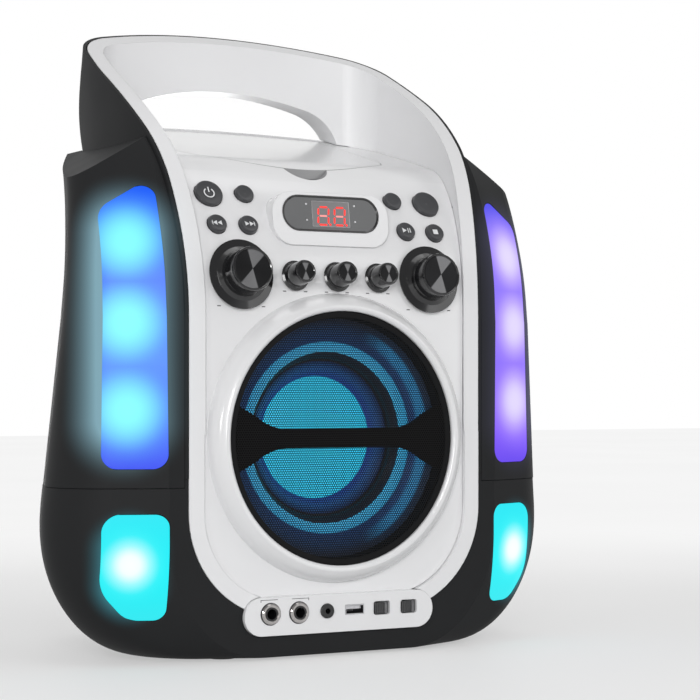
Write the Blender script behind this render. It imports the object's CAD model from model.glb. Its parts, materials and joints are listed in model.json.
import bmesh
import bpy
import json
from math import asin, cos, pi, radians, sin, sqrt, tau
from mathutils import Matrix, Vector


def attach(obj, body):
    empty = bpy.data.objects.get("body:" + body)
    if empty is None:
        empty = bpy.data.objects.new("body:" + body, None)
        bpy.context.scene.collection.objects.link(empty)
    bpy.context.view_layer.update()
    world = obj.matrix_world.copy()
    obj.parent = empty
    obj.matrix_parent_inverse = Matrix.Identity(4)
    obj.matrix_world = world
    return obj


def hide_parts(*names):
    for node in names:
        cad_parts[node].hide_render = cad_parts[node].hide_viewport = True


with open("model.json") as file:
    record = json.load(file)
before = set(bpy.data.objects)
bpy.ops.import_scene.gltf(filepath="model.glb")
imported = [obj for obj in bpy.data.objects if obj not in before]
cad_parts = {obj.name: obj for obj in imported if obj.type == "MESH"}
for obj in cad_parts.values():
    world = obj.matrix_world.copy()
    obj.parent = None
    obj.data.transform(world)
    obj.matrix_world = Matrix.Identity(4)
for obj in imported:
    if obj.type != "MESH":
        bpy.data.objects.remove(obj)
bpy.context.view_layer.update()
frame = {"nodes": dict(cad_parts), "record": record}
nodes = frame["nodes"]

# Lengths are in millimetres unless a comment says otherwise. Places are (across, depth, height), with the
# depth counted back from the CAD's front datum, which lies ORIGIN_DEPTH in front of the scene's origin.
MM = 0.001
ORIGIN_DEPTH = 94.75

# Speaker: its axis, the radius that the stops of its glow are given against, and the perforated sheet
SPEAKER_Z = 137.0
GLOW_R = 80
GRILLE_Y = 3.0
GRILLE_R = 79.95
GRILLE_RIM = 2.2
GRILLE_PITCH = 1.62
GRILLE_HOLE_R = 0.60
RING_STEPS = 160                # corners round the grille's rim

# Socket strip: depth of its face and of the jacks' faces, height of the sockets, places of the large jacks
STRIP_Y = 6.2
JACK_FACE_Y = 4.5
SOCKET_Z = 28.6
MIC_JACK_X = (-50.0, -30.0)
JACK_HOLE = (3.27, 4.35)
JACK_SHADOW = (6.45, 7.1)
BRACKET_BARS = [(-57, 8.6, -45, 8.95), (-35, 8.6, -23, 8.95),
                (-57, 7.4, -56.6, 8.95), (-23.4, 7.4, -23, 8.95)]
NEARLY_ROUND = tau * 0.9999     # a whole turn would close a band on itself

# Finger scoop in front of the lid
SCOOP_CENTRE = (1.0, 51.9, 322.4)
SCOOP_R = 20.0

# The shell's edge that closes the deck behind the lid: its heights and half its width, in metres
DECK_SILL = (0.318, 0.352)
DECK_HALF_WIDTH = 0.092

# Control arc: its foremost depth, the height from which it bends back, and the radius of the bend
PANEL_Y = 11.0
PANEL_BEND_Z = 218.0
PANEL_BEND_R = 120.0

# Knobs: height of their axes, place across, radius and height of the spun face, and reach of the ticks
KNOB_Z = 238.5
BIG_KNOBS = {"mic_volume_knob": -67.9, "master_volume_knob": 67.9}
SMALL_KNOBS = {"echo_knob": -30.0, "talk_over_knob": 0.0, "balance_knob": 30.0}
BIG_FACE = (12.4, 18.0)
SMALL_FACE = (5.7, 16.0)
BIG_TICKS, SMALL_TICKS = 25.0, 12.2
TICK = (-1.2, -0.3, 1.2, 0.3)
TICK_TURN = 38                  # degrees to each side of straight down
TICK_LEAN = radians(8)          # lean of the panel round the knobs
FACE_STEPS = 96

# Buttons: tilt of their caps (degrees), middles of the caps with a pictogram, and its thickness and start
BOARD_TILT = 31.0
BUTTON_MARKS = {"power_button": (-79.5, 289.0), "previous_button": (-79.3, 269.6),
                "next_button": (-57.4, 269.8), "play_button": (57.4, 269.8), "stop_button": (79.3, 269.6)}
PICTURE_HEIGHT, PICTURE_LIFT = 0.12, 2.28

# Flat marks on the case: thickness, and how far they start below the surface that they lie on
MARK_HEIGHT, MARK_LIFT = 0.06, -0.01

# Display: a bevelled frame of (half width, half height) loops at their lifts, and two leaning digits
DISPLAY_Y, DISPLAY_Z, DISPLAY_TILT = 19.0, 279.0, 8.0
DISPLAY_FRAME = [((35.0, 11.6), -0.3), ((35.0, 11.6), 0.35), ((34.4, 11.0), 0.35), ((33.6, 10.2), -0.28)]
DISPLAY_FLOOR = -0.3
INSET = (-13.4, -8.2, 13.4, 8.2)
INSET_EDGES = [(-13.6, 8.0, 13.6, 8.3), (13.2, -8.3, 13.6, 8.3),
               (-13.6, -8.3, 13.6, -8.0), (-13.6, -8.3, -13.3, 8.3)]
DIGITS = {"left_digit": -9.6, "right_digit": 2.2}
DIGIT_W = 7.4
DIGIT_ROWS = (-7.0, -1.3, 4.4)
DIGIT_LEAN = 0.4
DIGIT_LIFT = -0.24
SEGMENT_W = 1.15
LAMP_X, LAMP_Z, LAMP_R = (-17.5, 17.5), (6.0, -4.3), 0.65

# Glow of the lit lenses on the plastic round them: middle line (across, depth, low, high), reach and colour
LENS_EDGE = 17.0                # the glow starts this far from the middle line
GLOW_FALL = 2.4                 # the power with which it fades
LENS_GLOWS = [
    ((-141, 24, 150, 262), 26, (0.20, 0.37, 0.44)), ((142, 22, 150, 262), 30, (0.05, 0.05, 0.10)),
    ((-138, 24, 50, 70), 13, (0.02, 0.13, 0.16)), ((138, 24, 50, 70), 13, (0.02, 0.13, 0.16)),
]

# Lenses: low and high end, reach of a lamp's bright core, lamps, stops of colour by height and in a core
UPPER_LENS_Z, UPPER_CORE = (120, 297), 44
UPPER_LENSES = {
    "left": {
        "lamps": [(-139, 25, 258), (-141, 20, 208), (-141, 19, 155)],
        "column": [(0.0, (0.03, 0.05, 0.85)), (0.15, (0.06, 0.14, 0.92)), (0.4, (0.10, 0.28, 0.96)),
                   (0.7, (0.08, 0.20, 0.92)), (0.93, (0.02, 0.14, 0.95)), (1.0, (0.006, 0.10, 0.92))],
        "core": [(0.0, (0.05, 0.25, 0.98)), (0.3, (0.11, 0.42, 0.98)), (0.65, (0.18, 0.75, 0.99)),
                 (1.0, (0.24, 1.0, 1.0))],
    },
    "right": {
        "lamps": [(139, 25, 256), (141, 20, 210), (141, 19, 160)],
        "column": [(0.0, (0.10, 0.04, 0.80)), (0.15, (0.22, 0.09, 0.95)), (0.5, (0.27, 0.17, 0.96)),
                   (0.85, (0.22, 0.15, 0.92)), (1.0, (0.06, 0.05, 0.80))],
        "core": [(0.0, (0.30, 0.18, 1.0)), (0.4, (0.42, 0.27, 1.0)), (0.75, (0.60, 0.46, 1.0)),
                 (1.0, (0.76, 0.68, 1.0))],
    },
}
LOWER_LENS_Z, LOWER_CORE = (27, 92), 33
LOWER_LAMPS = {"left": (-137, 24, 62), "right": (137, 24, 62)}
LOWER_COLUMN = [(0.0, (0.03, 0.80, 0.85)), (0.5, (0.01, 0.88, 0.92)), (1.0, (0.01, 0.80, 0.88))]
LOWER_CORE_STOPS = [(0.0, (0.01, 0.86, 0.92)), (0.35, (0.06, 0.93, 0.95)), (0.7, (0.5, 1.0, 1.0)),
                    (0.9, (1.0, 1.0, 1.0))]

# Glow of the speaker: stops of colour by radius
CYAN = (0.03, 0.68, 1.0)
CONE_GLOW = [(0, CYAN), (39, CYAN), (39.6, (0.004, 0.04, 0.28)), (44, (0.01, 0.08, 0.26)),
             (49, (0.0, 0.01, 0.05))]
FLANGE_GLOW = [(49, (0, 0, 0)), (54, (0.0, 0.004, 0.012)), (60, (0.0, 0.008, 0.03)),
               (80, (0.0, 0.004, 0.015))]
LIP_GLOW = [(54.8, (0.05, 0.42, 0.72)), (60.6, (0.03, 0.36, 0.66))]
FUNNEL_GLOW = LIP_GLOW + [(61.4, (0.0, 0.03, 0.12)), (69, (0.0, 0.022, 0.075)), (74, (0.0, 0.006, 0.02)),
                          (80, (0, 0, 0))]
ARC_GLOW = LIP_GLOW + [(61.4, (0.0, 0.035, 0.13)), (65, (0.005, 0.05, 0.17)), (67.4, (0.02, 0.22, 0.46)),
                       (71.4, (0.02, 0.22, 0.46)), (73, (0.0, 0.02, 0.06)), (80, (0, 0, 0))]
ARC_X = (22, 48)                # the brighter arcs fade in between these places across

# Finishes
GLOSS_WHITE = (0.80, 0.80, 0.81)
WHITE_GRAIN = {"grain_scale": 300, "grain_strength": 0.012, "patchy": 0.01, "edge": 0.0006,
               "spill": (0.5, 1.5)}
SCOOP_SHADE = (0.34, 0.34, 0.345)
UNLIT = (0.01, 0.012, 0.02, 1)  # the speaker's plastic without the light on it
CLOUD = (0.3, 0.7)              # the range of a noise in which colour and gloss change
SHARP_ANGLE = 28                # degrees between faces of the CAD nodes, above which an edge stays crisp

# Surroundings: the strength at which they light the part, and the share of it that gloss sees in front
WORLD_LIGHT = 0.26
FRONT_SHARE = 0.1
FRONT_TO_BACK = (-0.35, 0.15)   # the share rises to 1 between these depths of a unit direction

# Floor: half its width, its drop below the feet, and the distances over which it turns white (metres)
FLOOR_HALF, FLOOR_DROP = 6.0, 0.0002
FLOOR_MIDDLE = (0, 0.1, 0)
FLOOR_FADE = (0.2, 1.1)
FLOOR_WHITE = 0.5               # share of plain white at the part's feet

# Lamps: place and target (metres), size (metres) and power (watts)
LAMPS = {
    "key": ((-1.0, -1.75, 0.55), (0, 0, 0.25), (0.7, 0.9), 21),
    "top": ((0.1, -0.1, 1.7), (0, 0, 0.2), (1.0, 1.0), 3.2),
    "right_fill": ((1.4, -1.4, 0.7), (0, 0, 0.25), (1.3, 1.4), 8),
    "left_strip": ((-1.3, 0.2, 0.5), (0, 0, 0.2), (0.25, 1.2), 0.8),
    "back_fill": ((0.9, 1.8, 0.16), (0, 0, 0.16), (1.3, 0.3), 12),
    "window": ((-1.5, -0.9, 0.42), (0, 0, 0.25), (0.07, 0.3), 2.4),
}

# Camera: fitted to the photograph
CAMERA_AT = (-671.7, -1175.7, 168.0)
CAMERA_YAW = 29.85
CAMERA_LENS = 110.94
CAMERA_SENSOR = 36.0
CAMERA_CLIP = (0.05, 20)        # metres
HORIZON_SHIFT = 0.0556


def place(x, y, z):
    """The point of the scene that lies at a place given in millimetres."""
    return Vector((x, y - ORIGIN_DEPTH, z)) * MM


# ---------------------------------------------------------------- node helpers

def builder(tree):
    """Empties a node tree and gives the function that adds linked nodes to it."""
    tree.nodes.clear()

    def add(kind, inputs=None, **settings):
        node = tree.nodes.new(kind)
        for key, value in settings.items():
            setattr(node, key, value)
        for key, value in (inputs or {}).items():
            if isinstance(value, bpy.types.NodeSocket):
                tree.links.new(value, node.inputs[key])
            else:
                node.inputs[key].default_value = value
        return node

    return add


def shader(name):
    """A new material, and the function that adds nodes to it."""
    material = bpy.data.materials.new(name)
    material.use_nodes = True
    return material, builder(material.node_tree)


def finish_surface(add, surface):
    """Make a shader node the surface of its material."""
    add("ShaderNodeOutputMaterial", {"Surface": surface.outputs[0]})


def principled(add, inputs):
    """The surface of a material, from the inputs of the one shader that it has."""
    finish_surface(add, add("ShaderNodeBsdfPrincipled", inputs))


def ramp(add, factor, stops):
    """A colour ramp with the stops given as (position, colour)."""
    node = add("ShaderNodeValToRGB", {"Fac": factor})
    elements = node.color_ramp.elements
    while len(elements) < len(stops):
        elements.new(0.5)
    for element, (position, colour) in zip(elements, stops):
        element.position = position
        element.color = (*colour, 1.0)
    return node.outputs["Color"]


def map_range(add, value, source, target=(0.0, 1.0), kind="LINEAR"):
    """A value taken from one range to another, and held at its ends."""
    node = add("ShaderNodeMapRange", {"Value": value, "From Min": source[0], "From Max": source[1],
                                      "To Min": target[0], "To Max": target[1]}, interpolation_type=kind)
    return node.outputs["Result"]


def calculate(add, operation, *values):
    """One sum of up to three values."""
    return add("ShaderNodeMath", dict(enumerate(values)), operation=operation).outputs["Value"]


def mix(add, share, first, second, blend="MIX"):
    """A blend of two colours."""
    node = add("ShaderNodeMix", {0: share, 6: first, 7: second}, data_type="RGBA", blend_type=blend)
    return node.outputs[2]


def object_coords(add):
    """Coordinates that stay on the object."""
    return add("ShaderNodeTexCoord").outputs["Object"]


def noise(add, coords, scale, detail=2.0):
    """Soft noise over the surface."""
    return add("ShaderNodeTexNoise", {"Vector": coords, "Scale": scale, "Detail": detail}).outputs["Fac"]


def distance_from(add, coords, point):
    """Distance of each surface point from a place."""
    return add("ShaderNodeVectorMath", {0: coords, 1: point}, operation="DISTANCE").outputs["Value"]


def axis_share(add, coords):
    """Distance of each surface point from the speaker's axis, as a share of GLOW_R."""
    flat = add("ShaderNodeMapping", {"Vector": coords, "Scale": (1, 0, 1)}).outputs["Vector"]
    away = distance_from(add, flat, (0, 0, SPEAKER_Z * MM))
    return map_range(add, away, (0.0, GLOW_R * MM))


def grain(add, scale, strength, edge=0.0004):
    """Fine moulded grain over softened edges, as a normal, with the coordinates that it follows."""
    coords = object_coords(add)
    soft = add("ShaderNodeBevel", {"Radius": edge}, samples=4)
    bump = add("ShaderNodeBump", {"Height": noise(add, coords, scale, 3.0), "Strength": strength,
                                  "Distance": 0.0001, "Normal": soft.outputs["Normal"]})
    return bump.outputs["Normal"], coords


# ---------------------------------------------------------------- materials

def plastic(name, colour, rough, grain_scale=900, grain_strength=0.1, patchy=0.04, coat=0.0, edge=0.0004,
            specular=0.5, spill=None, hollow=None):
    """Moulded plastic: grain, and a slight change of colour and of gloss from place to place.

    spill is the share of the lenses' glow that shows on it and a factor on the glow's reach. hollow is the
    middle, the radius and the colour of a shaded dish.
    """
    material, add = shader(name)
    normal, coords = grain(add, grain_scale, grain_strength, edge)
    cloud = noise(add, coords, 18.0)
    low = tuple(max(0.0, c * (1 - patchy)) for c in colour)
    high = tuple(min(1.0, c * (1 + patchy)) for c in colour)
    tint = ramp(add, cloud, list(zip(CLOUD, (low, high))))
    gloss = map_range(add, cloud, CLOUD, (rough * 0.93, rough * 1.07))
    if hollow:
        middle, radius, dark = hollow
        away = distance_from(add, coords, place(*middle))
        inside = map_range(add, away, ((radius + 0.1) * MM, (radius + 0.4) * MM), (1.0, 0.0))
        tint = mix(add, inside, tint, (*dark, 1))
    inputs = {"Base Color": tint, "Roughness": gloss, "Normal": normal, "Coat Weight": coat,
              "Coat Roughness": 0.08, "Specular IOR Level": specular}
    if spill:
        share, wider = spill
        inputs["Emission Color"] = lens_spill(add, coords, wider)
        inputs["Emission Strength"] = share
    principled(add, inputs)
    return material


def lens_spill(add, coords, wider):
    """Glow of the lit lenses on the plastic round them, falling off from each lens's edge."""
    axes = add("ShaderNodeSeparateXYZ", {"Vector": coords}).outputs
    colour = (0, 0, 0, 1)
    for (x, depth, low, high), reach, tint in LENS_GLOWS:
        at = place(x, depth, low)
        ends = {"Value": axes["Z"], "Min": low * MM, "Max": high * MM}
        height = add("ShaderNodeClamp", ends).outputs["Result"]
        nearest = add("ShaderNodeCombineXYZ", {"X": at[0], "Y": at[1], "Z": height}).outputs["Vector"]
        away = distance_from(add, coords, nearest)
        near = map_range(add, away, (LENS_EDGE * MM, (LENS_EDGE + reach * wider) * MM), (1.0, 0.0))
        fading = calculate(add, "POWER", near, GLOW_FALL)
        colour = mix(add, fading, colour, (*tint, 1), "ADD")
    return colour


def metal(name, colour, rough):
    """Plated or painted metal with fine streaks."""
    material, add = shader(name)
    streaks = noise(add, object_coords(add), 400, 4.0)
    tint = ramp(add, streaks, [(CLOUD[0], tuple(c * 0.86 for c in colour)), (CLOUD[1], colour)])
    gloss = map_range(add, streaks, (0.0, 1.0), (rough * 0.8, rough * 1.25))
    bump = add("ShaderNodeBump", {"Height": streaks, "Strength": 0.08, "Distance": 0.0001})
    principled(add, {"Base Color": tint, "Metallic": 1.0, "Roughness": gloss,
                     "Normal": bump.outputs["Normal"]})
    return material


def smoked_window():
    """Grey acrylic in front of the digits."""
    material, add = shader("smoked_window")
    normal, coords = grain(add, 300, 0.01)
    greys = (0.055, 0.057, 0.06), (0.07, 0.072, 0.075)
    tint = ramp(add, noise(add, coords, 30.0), list(zip(CLOUD, greys)))
    principled(add, {"Base Color": tint, "Roughness": 0.12, "Normal": normal, "Coat Weight": 0.6})
    return material


def lit_lens(name, lamps, ends, column, core, reach):
    """Milky lens lit from behind: its colour changes with height, and each lamp makes a bright core."""
    material, add = shader(name)
    normal, coords = grain(add, 700, 0.06)
    height = add("ShaderNodeSeparateXYZ", {"Vector": coords}).outputs["Z"]
    along = map_range(add, height, (ends[0] * MM, ends[1] * MM))
    wobble = calculate(add, "MULTIPLY_ADD", noise(add, coords, 25.0), 0.08, along)
    colour = ramp(add, wobble, column)
    glow = None
    for lamp in lamps:
        away = distance_from(add, coords, place(*lamp))
        near = map_range(add, away, (0.0, reach * MM), (1.0, 0.0), "SMOOTHERSTEP")
        glow = near if glow is None else calculate(add, "MAXIMUM", glow, near)
    principled(add, {"Base Color": (0.006, 0.01, 0.03, 1), "Roughness": 0.35, "Normal": normal,
                     "Specular IOR Level": 0.12, "Emission Strength": 1.0,
                     "Emission Color": mix(add, glow, colour, ramp(add, glow, core))})
    return material


def radius_ramp(add, outwards, stops):
    """Colours by the radius about the speaker's axis."""
    return ramp(add, outwards, [(radius / GLOW_R, tint) for radius, tint in stops])


def lit_plastic(add, normal, colour):
    """Dark plastic in the light of hidden lamps, of the given colour."""
    principled(add, {"Base Color": UNLIT, "Roughness": 0.5, "Normal": normal, "Emission Color": colour,
                     "Emission Strength": 1.0})


def radial_glow(name, stops):
    """A surface of the loudspeaker whose glow changes with the distance from the axis."""
    material, add = shader(name)
    normal, coords = grain(add, 900, 0.2)
    lit_plastic(add, normal, radius_ramp(add, axis_share(add, coords), stops))
    return material


def light_guide():
    """The funnel of the light ring: a bright lip, dark blue outside it, with brighter arcs at the right."""
    material, add = shader("light_guide")
    normal, coords = grain(add, 700, 0.1)
    outwards = axis_share(add, coords)
    plain = radius_ramp(add, outwards, FUNNEL_GLOW)
    bright = radius_ramp(add, outwards, ARC_GLOW)
    across = add("ShaderNodeSeparateXYZ", {"Vector": coords}).outputs["X"]
    right = map_range(add, across, (ARC_X[0] * MM, ARC_X[1] * MM), kind="SMOOTHSTEP")
    lit_plastic(add, normal, mix(add, right, plain, bright))
    return material


def spun_face(name, axis, half):
    """Dark turned metal: fine rings about the piece's own axis and two bright wedges across it (degrees)."""
    material, add = shader(name)
    coords = object_coords(add)
    rings = add("ShaderNodeTexWave", {"Vector": coords, "Scale": 900.0, "Distortion": 0.3},
                wave_type="RINGS", rings_direction="Z").outputs["Fac"]
    bump = add("ShaderNodeBump", {"Height": rings, "Strength": 0.05, "Distance": 0.00005})
    around = add("ShaderNodeTexGradient", {"Vector": coords}, gradient_type="RADIAL").outputs["Fac"]
    dark, bright, soft = (0.022, 0.022, 0.023), (0.19, 0.19, 0.195), 0.006
    stops = []
    for middle in (axis / 360, axis / 360 + 0.5):
        low, high = middle - half / 360, middle + half / 360
        stops += [(low - soft, dark), (low + soft, bright), (high - soft, bright), (high + soft, dark)]
    wedges = ramp(add, around, stops)
    fine = ramp(add, rings, [(0.2, (0.8, 0.8, 0.8)), (0.8, (1.0, 1.0, 1.0))])
    tangent = add("ShaderNodeTangent", direction_type="RADIAL", axis="Z").outputs["Tangent"]
    principled(add, {"Base Color": mix(add, 1.0, wedges, fine, "MULTIPLY"), "Metallic": 1.0,
                     "Roughness": 0.34, "Anisotropic": 0.6, "Tangent": tangent,
                     "Normal": bump.outputs["Normal"]})
    return material


def glowing(name, colour):
    """A lit segment, with a slight change of brightness over it."""
    material, add = shader(name)
    cloud = noise(add, object_coords(add), 500.0)
    tint = ramp(add, cloud, [(CLOUD[0], tuple(c * 0.9 for c in colour)), (CLOUD[1], colour)])
    principled(add, {"Base Color": tint, "Roughness": 0.4, "Emission Color": tint, "Emission Strength": 1.0})
    return material


# ---------------------------------------------------------------- finishes of the CAD nodes

def slot_finishes():
    """The finish of each material slot whose pieces aren't lit."""
    dark_metal = metal("painted_frame", (0.03, 0.03, 0.033), 0.5)
    rubber = plastic("rubber", (0.02, 0.02, 0.02), 0.8, grain_scale=700, grain_strength=0.4)
    socket = plastic("socket_black", (0.008, 0.008, 0.009), 0.25, coat=0.3)
    return {
        "black_case": plastic("satin_black", (0.02, 0.0205, 0.0215), 0.58, grain_scale=1400,
                              grain_strength=0.35, edge=0.0006, specular=0.08, spill=(1.0, 1.0)),
        "white_case": plastic("gloss_white", GLOSS_WHITE, 0.2, coat=0.45, **WHITE_GRAIN),
        "black_trim": plastic("black_trim", (0.006, 0.006, 0.007), 0.5, grain_strength=0.2),
        "driver_frame": dark_metal,
        "grille_mesh": dark_metal,
        "ferrite": metal("ferrite", (0.08, 0.08, 0.085), 0.55),
        "surround": rubber,
        "pad": rubber,
        "steel": metal("plated_steel", (0.62, 0.62, 0.64), 0.28),
        "screw": metal("black_screw", (0.04, 0.04, 0.042), 0.4),
        "circuit_board": plastic("solder_mask", (0.02, 0.12, 0.05), 0.35, grain_scale=500, grain_strength=0.3,
                                 patchy=0.25),
        "button": plastic("button", (0.045, 0.046, 0.05), 0.38, grain_scale=1100, grain_strength=0.15),
        "jack": metal("chrome", (0.50, 0.48, 0.47), 0.16),
        "socket_plastic": socket,
        "display": socket,
        "drive_plastic": plastic("tray", (0.03, 0.03, 0.033), 0.5, grain_scale=1000, grain_strength=0.3),
        "knob": plastic("gloss_knob", (0.008, 0.008, 0.009), 0.13, grain_scale=400, grain_strength=0.02,
                        coat=0.5),
        "window": smoked_window(),
    }


def set_finish(name, material):
    """Change the finish of a whole node."""
    nodes[name].data.materials[0] = material


def front_of(node):
    """Depth of a node's foremost corner, in metres."""
    return min(vertex.co.y for vertex in node.data.vertices)


def paint_faces(node, material, picked):
    """A second finish for the faces of a node that a test picks by their middle and normal."""
    node.data.materials.append(material)
    for polygon in node.data.polygons:
        if picked(polygon.center, polygon.normal):
            polygon.material_index = len(node.data.materials) - 1


def paint_nodes(finishes):
    """Every node gets the finish of its slot, and some whole nodes one of their own."""
    slots = {part["node"]: part["material_slot"] for part in frame["record"]["subparts"]}
    for name, node in nodes.items():
        if slots[name] in finishes:
            node.data.materials.clear()
            node.data.materials.append(finishes[slots[name]])
    slider = plastic("slider", (0.022, 0.022, 0.023), 0.3, coat=0.2)
    set_finish("function_switch", slider)
    set_finish("light_switch", slider)
    set_finish("switch_bodies", plastic("switch_body", (0.45, 0.45, 0.46), 0.35))
    set_finish("front_panel", plastic("panel_white", GLOSS_WHITE, 0.2, coat=0.45,
                                      hollow=(SCOOP_CENTRE, SCOOP_R, SCOOP_SHADE), **WHITE_GRAIN))
    set_finish("handle_frame", plastic("handle_white", GLOSS_WHITE, 0.42, coat=0.05, **WHITE_GRAIN))
    set_finish("speaker_crossbar", plastic("crossbar_black", (0.002, 0.002, 0.002), 0.7, specular=0.05))


def paint_details(finishes):
    """Second finishes: slider ridges, insides of the sockets, the lid's skirt and the sill behind the lid."""
    ridge = plastic("slider_ridge", (0.05, 0.05, 0.052), 0.25, coat=0.3)
    for name in ("function_switch", "light_switch"):
        front = front_of(nodes[name])
        paint_faces(nodes[name], ridge, lambda at, normal: normal.y < -0.9 and at.y < front + 0.1 * MM)
    usb_front = front_of(nodes["usb_socket"])
    paint_faces(nodes["usb_socket"], finishes["black_trim"],
                lambda at, normal: at.y > usb_front + 0.2 * MM and normal.y > -0.9)
    jack_front = front_of(nodes["mic_jacks"])
    paint_faces(nodes["mic_jacks"], finishes["socket_plastic"],
                lambda at, normal: at.y > jack_front + 1.85 * MM)
    paint_faces(nodes["disc_lid"], plastic("lid_skirt", (0.30, 0.30, 0.305), 0.3),
                lambda at, normal: normal.y < -0.3 and normal.z < 0.3)
    low, high = DECK_SILL
    paint_faces(nodes["handle_shell"], finishes["white_case"],
                lambda at, normal: abs(at.x) < DECK_HALF_WIDTH and low < at.z < high
                and (normal.z > 0.5 or normal.y < -0.3))


def light_lenses():
    """Lit fronts for the four lenses, and milky unlit sides and backs."""
    milky = plastic("lens_back", (0.20, 0.21, 0.23), 0.5, grain_scale=700)
    for side, sign in (("left", -1), ("right", 1)):
        upper = UPPER_LENSES[side]
        set_finish(f"upper_lens_{side}", lit_lens(f"lens_{side}", upper["lamps"], UPPER_LENS_Z,
                                                  upper["column"], upper["core"], UPPER_CORE))
        set_finish(f"lower_lens_{side}", lit_lens(f"lens_low_{side}", [LOWER_LAMPS[side]], LOWER_LENS_Z,
                                                  LOWER_COLUMN, LOWER_CORE_STOPS, LOWER_CORE))
        outwards = Vector((0.6 * sign, -0.8, 0))
        for lens in (nodes[f"upper_lens_{side}"], nodes[f"lower_lens_{side}"]):
            paint_faces(lens, milky, lambda at, normal: normal.dot(outwards) < 0.05)


def light_speaker():
    """The lit cone, its dark surroundings and the light ring."""
    cone = radial_glow("lit_cone", CONE_GLOW)
    flange = radial_glow("lit_flange", FLANGE_GLOW)
    for name in ("speaker_cone", "dust_cap"):
        set_finish(name, cone)
    for name in ("speaker_surround", "speaker_basket", "speaker_baffle"):
        set_finish(name, flange)
    set_finish("light_ring", light_guide())


def smooth_nodes():
    """Curved CAD faces shade smoothly, and their edges stay crisp."""
    for node in nodes.values():
        smooth_faces(node.data, SHARP_ANGLE)


# ---------------------------------------------------------------- mesh helpers

def smooth_faces(data, angle):
    """Smooth shading over every edge that turns by less than an angle (degrees)."""
    for polygon in data.polygons:
        polygon.use_smooth = True
    data.set_sharp_from_angle(angle=radians(angle))


def mesh_object(name, mesh):
    """Put a finished bmesh in the scene."""
    data = bpy.data.meshes.new(name)
    mesh.to_mesh(data)
    mesh.free()
    made = bpy.data.objects.new(name, data)
    bpy.context.scene.collection.objects.link(made)
    return made


def make_piece(name, mesh, material, body, smooth=0):
    """Put a finished bmesh in the scene, riding on its body; smooth is an angle in degrees."""
    mesh.normal_update()
    piece = mesh_object(name, mesh)
    piece.data.materials.append(material)
    if smooth:
        smooth_faces(piece.data, smooth)
    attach(piece, body)
    return piece


def bridge(mesh, low, high):
    """Faces between two closed loops of corners."""
    for i in range(len(low)):
        j = (i + 1) % len(low)
        mesh.faces.new((low[i], low[j], high[j], high[i]))


def lifted(mesh, plane, points, lift):
    """Corners at flat points drawn on a plane and lifted off it."""
    return [mesh.verts.new(plane @ Vector((x * MM, y * MM, lift * MM))) for x, y in points]


def raised(shapes, plane, height, lift):
    """Flat outlines, each a list of points, drawn on a plane and given a thickness."""
    mesh = bmesh.new()
    for points in shapes:
        low = lifted(mesh, plane, points, lift)
        high = lifted(mesh, plane, points, lift + height)
        mesh.faces.new(high)
        mesh.faces.new(list(reversed(low)))
        bridge(mesh, low, high)
    bmesh.ops.recalc_face_normals(mesh, faces=mesh.faces)
    return mesh


def plane_at(origin, normal):
    """A matrix whose X stays level and whose Z is the normal."""
    z = Vector(normal).normalized()
    x = Vector((1, 0, 0))
    y = z.cross(x)
    return Matrix(((x[0], y[0], z[0], origin[0]), (x[1], y[1], z[1], origin[1]),
                   (x[2], y[2], z[2], origin[2]), (0, 0, 0, 1)))


def tilted_plane(origin, turn):
    """A frame that faces the front and leans back by an angle (radians)."""
    return plane_at(origin, (0, -cos(turn), sin(turn)))


def panel_plane(x, z):
    """The frame on the control arc at a height."""
    turn = asin((z - PANEL_BEND_Z) / PANEL_BEND_R)
    y = PANEL_Y + PANEL_BEND_R * (1 - cos(turn))
    return tilted_plane(place(x, y, z), turn)


def circle(radius, count, start=0.0, end=tau, centre=(0, 0)):
    """Points on an arc; a full turn doesn't repeat its first point."""
    step = (end - start) / (count if end - start >= tau else count - 1)
    turns = [start + i * step for i in range(count)]
    return [(centre[0] + radius * cos(turn), centre[1] + radius * sin(turn)) for turn in turns]


def arc_band(inner, outer, start, end, count=32):
    """A band of a ring between two angles."""
    return circle(outer, count, start, end) + list(reversed(circle(inner, count, start, end)))


def bar(x0, y0, x1, y1):
    """A rectangle from two corners."""
    return [(x0, y0), (x1, y0), (x1, y1), (x0, y1)]


def triangle(x, side, size):
    """A triangle pointing left (side -1) or right (side 1)."""
    base, tip, half_height = x - side * size / 2, x + side * size / 2, size * 0.62
    points = [(base, half_height), (tip, 0), (base, -half_height)]
    return points if side < 0 else list(reversed(points))


def stadium(half_width, half_height):
    """A pill-shaped outline."""
    reach = half_width - half_height
    line = [(reach + x, y) for x, y in circle(half_height, 25, -pi / 2, pi / 2)]
    return line + [(x - reach, y) for x, y in circle(half_height, 25, pi / 2, 3 * pi / 2)]


# ---------------------------------------------------------------- grille

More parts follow.
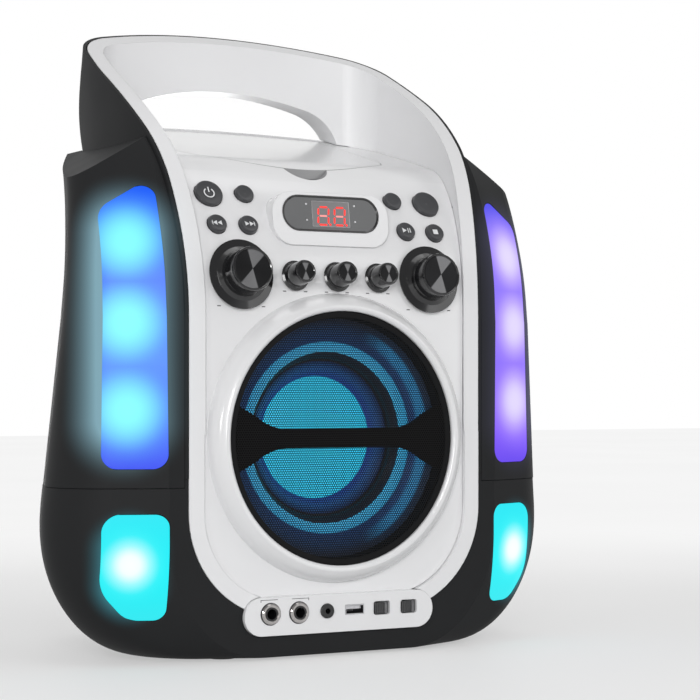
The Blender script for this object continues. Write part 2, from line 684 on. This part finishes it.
def perforated_grille():
    """Perforated sheet on a hexagonal pitch, with the plain rolled rim of the CAD grille."""
    mesh = bmesh.new()
    limit = GRILLE_R - GRILLE_RIM
    found = {}

    def vertex(x, z):
        key = (round(x, 3), round(z, 3))
        if key not in found:
            found[key] = mesh.verts.new(place(x, GRILLE_Y, SPEAKER_Z + z))
        return found[key]

    corner = GRILLE_PITCH / sqrt(3)
    turns = [k * pi / 3 for k in range(6)]
    rows = int(limit / (GRILLE_PITCH * sqrt(3) / 2)) + 1
    columns = int(limit / GRILLE_PITCH) + 1
    for row in range(-rows, rows + 1):
        z = row * GRILLE_PITCH * sqrt(3) / 2
        shift = 0.5 * (row % 2)
        for column in range(-columns, columns + 1):
            x = (column + shift) * GRILLE_PITCH
            if x * x + z * z > (limit - GRILLE_PITCH) ** 2:
                continue
            outer = [vertex(x + corner * sin(turn), z + corner * cos(turn)) for turn in turns]
            inner = [mesh.verts.new(place(x + GRILLE_HOLE_R * sin(turn), GRILLE_Y,
                                          SPEAKER_Z + z + GRILLE_HOLE_R * cos(turn))) for turn in turns]
            for k in range(6):
                n = (k + 1) % 6
                mesh.faces.new((outer[k], inner[k], inner[n], outer[n]))
    paint = plastic("grille_black", (0.004, 0.004, 0.0045), 0.6, grain_strength=0.3, specular=0.15)
    grille = make_piece("grille_sheet", mesh, paint, "case")
    section = [(limit - 1.9, 0.0), (limit, -0.35), (GRILLE_R - 0.5, -0.35), (GRILLE_R, 0.2), (GRILLE_R, 6.0),
               (GRILLE_R - 1.4, 6.0), (GRILLE_R - 1.4, 1.0), (limit - 1.9, 0.5)]
    turned_ring("grille_rim", section, paint)
    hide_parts("speaker_grille")


def turned_ring(name, section, material):
    """A ring about the speaker's axis from its section (radius, depth behind the grille's face)."""
    mesh = bmesh.new()
    loops = []
    for step in range(RING_STEPS):
        turn = tau * step / RING_STEPS
        places = [(r * cos(turn), GRILLE_Y + depth, SPEAKER_Z + r * sin(turn)) for r, depth in section]
        loops.append([mesh.verts.new(place(*point)) for point in places])
    for here, after in zip(loops, loops[1:] + loops[:1]):
        bridge(mesh, here, after)
    bmesh.ops.recalc_face_normals(mesh, faces=mesh.faces)
    make_piece(name, mesh, material, "case", 40)


# ---------------------------------------------------------------- controls

def button_pictures():
    """Light pictograms on the caps of the transport and power buttons."""
    paint = plastic("pictogram", (0.78, 0.79, 0.80), 0.5)
    shapes = {
        "power_button": [arc_band(2.9, 3.75, radians(125), radians(415)), bar(-0.42, 0.5, 0.42, 4.4)],
        "previous_button": [bar(-4.0, -1.75, -3.3, 1.75), triangle(-1.8, -1, 2.8), triangle(1.4, -1, 2.8)],
        "next_button": [bar(3.3, -1.75, 4.0, 1.75), triangle(-1.4, 1, 2.8), triangle(1.8, 1, 2.8)],
        "play_button": [triangle(-1.6, 1, 3.0), bar(0.7, -1.8, 1.4, 1.8), bar(2.2, -1.8, 2.9, 1.8)],
        "stop_button": [bar(-1.8, -1.8, 1.8, 1.8)],
    }
    for name, (x, z) in BUTTON_MARKS.items():
        plane = tilted_plane(panel_plane(x, z).translation, radians(BOARD_TILT))
        picture = raised(shapes[name], plane, PICTURE_HEIGHT, PICTURE_LIFT)
        make_piece(f"{name}_picture", picture, paint, f"{name}_body")


def knob_faces(knobs, size, finish):
    """A spun disc let into the end of each knob."""
    radius, height = size
    section = [(0.02, height - 0.42), (radius - 0.5, height - 0.42), (radius, height - 0.62)]
    turns = [tau * i / FACE_STEPS for i in range(FACE_STEPS)]
    for name, x in knobs.items():
        mesh = bmesh.new()
        rings = [[mesh.verts.new((r * cos(turn) * MM, r * sin(turn) * MM, h * MM)) for turn in turns]
                 for r, h in section]
        for low, high in zip(rings, rings[1:]):
            bridge(mesh, high, low)
        mesh.faces.new(rings[0])
        bmesh.ops.recalc_face_normals(mesh, faces=mesh.faces)
        face = mesh_object(f"{name}_face", mesh)
        face.matrix_world = panel_plane(x, KNOB_Z)
        face.data.materials.append(finish)
        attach(face, f"{name}_body")


def case_mark(name, shapes, plane, material):
    """A thin flat mark on the case."""
    make_piece(name, raised(shapes, plane, MARK_HEIGHT, MARK_LIFT), material, "case")


def scale_marks(knobs, reach, ink):
    """Short ticks at both ends of every knob's travel, on the panel."""
    for name, x in knobs.items():
        for side, label in ((-1, "low"), (1, "high")):
            angle = radians(-90 + side * TICK_TURN)
            plane = panel_plane(x + reach * cos(angle), KNOB_Z + reach * sin(angle) * cos(TICK_LEAN))
            case_mark(f"{name}_{label}_mark", [bar(*TICK)], plane, ink)


def jack_marks(ink):
    """Dark throats and shadows of the two large jacks, and the bracket that joins them."""
    dark = nodes["aux_jack"].data.materials[0]
    throat = [arc_band(*JACK_HOLE, 0, NEARLY_ROUND, 64)]
    shadow = [arc_band(*JACK_SHADOW, 0, NEARLY_ROUND, 64)]
    for number, x in enumerate(MIC_JACK_X, 1):
        on_jack = tilted_plane(place(x, JACK_FACE_Y, SOCKET_Z), 0)
        case_mark(f"jack_throat_{number}", throat, on_jack, dark)
        on_strip = tilted_plane(place(x, STRIP_Y, SOCKET_Z), 0)
        case_mark(f"jack_shadow_{number}", shadow, on_strip, ink)
    bracket = [bar(*corners) for corners in BRACKET_BARS]
    case_mark("jack_bracket", bracket, tilted_plane(place(0, STRIP_Y, SOCKET_Z), 0), ink)


# ---------------------------------------------------------------- display

def segment(x0, y0, x1, y1):
    """One bar of a seven-segment digit, pointed at both ends."""
    dx, dy = x1 - x0, y1 - y0
    far = sqrt(dx * dx + dy * dy)
    ux, uy = dx / far * SEGMENT_W / 2, dy / far * SEGMENT_W / 2
    return [(x0, y0), (x0 + ux - uy, y0 + uy + ux), (x1 - ux - uy, y1 - uy + ux), (x1, y1),
            (x1 - ux + uy, y1 - uy - ux), (x0 + ux + uy, y0 + uy - ux)]


def digit_bars(left):
    """The six outer bars of a digit with its decimal point, and its middle bar."""
    low, mid, high = DIGIT_ROWS
    right = left + DIGIT_W
    outer = [segment(left + 0.8 + 2 * DIGIT_LEAN, high, right - 0.8 + 2 * DIGIT_LEAN, high),
             segment(left + 0.8, low, right - 0.8, low)]
    for x in (left, right):
        outer.append(segment(x, low + 0.7, x + DIGIT_LEAN, mid - 0.5))
        outer.append(segment(x + DIGIT_LEAN, mid + 0.5, x + 2 * DIGIT_LEAN, high - 0.7))
    outer.append(circle(0.75, 16, centre=(right + 1.4, low + 0.2)))
    middle = segment(left + 0.8 + DIGIT_LEAN, mid, right - 0.8 + DIGIT_LEAN, mid)
    return outer, [middle]


def display_frame(plane):
    """The bevelled black edge round the window."""
    mesh = bmesh.new()
    loops = [lifted(mesh, plane, stadium(*halves), lift) for halves, lift in DISPLAY_FRAME]
    for low, high in zip(loops, loops[1:]):
        bridge(mesh, low, high)
    bmesh.ops.recalc_face_normals(mesh, faces=mesh.faces)
    black = plastic("display_edge", (0.006, 0.006, 0.007), 0.16, coat=0.4)
    make_piece("display_edge", mesh, black, "case", 35)


def display_face():
    """Bevelled black frame, lighter inset, two red digits and four white lamps."""
    plane = tilted_plane(place(0, DISPLAY_Y, DISPLAY_Z), radians(DISPLAY_TILT))
    display_frame(plane)
    inset = plastic("display_inset", (0.21, 0.20, 0.205), 0.3)
    make_piece("display_inset", raised([bar(*INSET)], plane, 0.05, DISPLAY_FLOOR), inset, "case")
    pale = plastic("inset_edge", (0.5, 0.49, 0.5), 0.3)
    edges = [bar(*corners) for corners in INSET_EDGES]
    make_piece("inset_edge", raised(edges, plane, 0.08, DISPLAY_FLOOR), pale, "case")
    lit, dim = glowing("red_segment", (0.86, 0.025, 0.02)), glowing("dim_segment", (0.60, 0.20, 0.19))
    for name, left in DIGITS.items():
        outer, middle = digit_bars(left)
        make_piece(name, raised(outer, plane, 0.05, DIGIT_LIFT), lit, "case")
        make_piece(f"{name}_middle", raised(middle, plane, 0.05, DIGIT_LIFT), dim, "case")
    lamp = plastic("small_lamp", (0.7, 0.7, 0.72), 0.3)
    spots = [circle(LAMP_R, 20, centre=(x, y)) for x in LAMP_X for y in LAMP_Z]
    make_piece("display_lamps", raised(spots, plane, 0.06, DISPLAY_FLOOR), lamp, "case")


# ---------------------------------------------------------------- stage, camera and light

def seen_rays(add, glossy_share=1.0):
    """Full strength for the white that the camera, gloss and glass see, and dim for what it lights."""
    path = add("ShaderNodeLightPath").outputs
    seen = calculate(add, "MULTIPLY", path["Is Glossy Ray"], glossy_share)
    seen = calculate(add, "MAXIMUM", path["Is Camera Ray"], seen)
    seen = calculate(add, "MAXIMUM", seen, path["Is Transmission Ray"])
    return map_range(add, seen, (0.0, 1.0), (WORLD_LIGHT, 1.0))


def stage():
    """A pale floor that turns white away from the part."""
    mesh = bmesh.new()
    bmesh.ops.create_grid(mesh, x_segments=2, y_segments=2, size=FLOOR_HALF)
    floor = mesh_object("floor", mesh)
    floor.location.z = -FLOOR_DROP
    material, add = shader("pale_floor")
    coords = object_coords(add)
    pale = (0.90, 0.90, 0.90), (0.92, 0.92, 0.92)
    tint = ramp(add, noise(add, coords, 2.0), list(zip(CLOUD, pale)))
    matt = add("ShaderNodeBsdfPrincipled", {"Base Color": tint, "Roughness": 0.7})
    white = add("ShaderNodeEmission", {"Color": tint, "Strength": seen_rays(add)})
    away = distance_from(add, coords, FLOOR_MIDDLE)
    far = map_range(add, away, FLOOR_FADE, (FLOOR_WHITE, 1.0), "SMOOTHSTEP")
    finish_surface(add, add("ShaderNodeMixShader", {0: far, 1: matt.outputs[0], 2: white.outputs[0]}))
    floor.data.materials.append(material)


def area_light(name, at, towards, size, power):
    """A white lamp of a size (metres) and power (watts), turned to a target."""
    data = bpy.data.lights.new(name, "AREA")
    data.shape = "RECTANGLE"
    data.size, data.size_y = size
    data.energy = power
    light = bpy.data.objects.new(name, data)
    light.location = at
    direction = Vector(towards) - Vector(at)
    light.rotation_euler = direction.to_track_quat("-Z", "Y").to_euler()
    bpy.context.scene.collection.objects.link(light)


def surroundings():
    """White surroundings, of which gloss sees less in front of the part than behind it."""
    world = bpy.data.worlds.new("world")
    world.use_nodes = True
    add = builder(world.node_tree)
    direction = add("ShaderNodeTexCoord").outputs["Generated"]
    facing = add("ShaderNodeSeparateXYZ", {"Vector": direction}).outputs["Y"]
    behind = map_range(add, facing, FRONT_TO_BACK, (FRONT_SHARE, 1.0), "SMOOTHSTEP")
    sky = add("ShaderNodeBackground", {"Color": (1, 1, 1, 1), "Strength": seen_rays(add, behind)})
    add("ShaderNodeOutputWorld", {"Surface": sky.outputs["Background"]})
    bpy.context.scene.world = world


def camera():
    """The camera at the photograph's viewing angle."""
    data = bpy.data.cameras.new("camera")
    data.lens = CAMERA_LENS
    data.sensor_width = CAMERA_SENSOR
    data.shift_y = HORIZON_SHIFT
    data.clip_start, data.clip_end = CAMERA_CLIP
    view = bpy.data.objects.new("camera", data)
    view.location = place(*CAMERA_AT)
    view.rotation_euler = (radians(90), 0, -radians(CAMERA_YAW))
    bpy.context.scene.collection.objects.link(view)
    bpy.context.scene.camera = view


all_finishes = slot_finishes()
paint_nodes(all_finishes)
paint_details(all_finishes)
smooth_nodes()
light_lenses()
light_speaker()
perforated_grille()
button_pictures()
knob_faces(BIG_KNOBS, BIG_FACE, spun_face("spun_face_big", 74, 28))
knob_faces(SMALL_KNOBS, SMALL_FACE, spun_face("spun_face_small", 88, 24))
grey_ink = plastic("grey_ink", (0.06, 0.06, 0.065), 0.6)
scale_marks(BIG_KNOBS, BIG_TICKS, grey_ink)
scale_marks(SMALL_KNOBS, SMALL_TICKS, grey_ink)
jack_marks(grey_ink)
display_face()
stage()
surroundings()
camera()
for lamp_name, settings in LAMPS.items():
    area_light(lamp_name, *settings)
bpy.context.scene.view_settings.view_transform = "Standard"
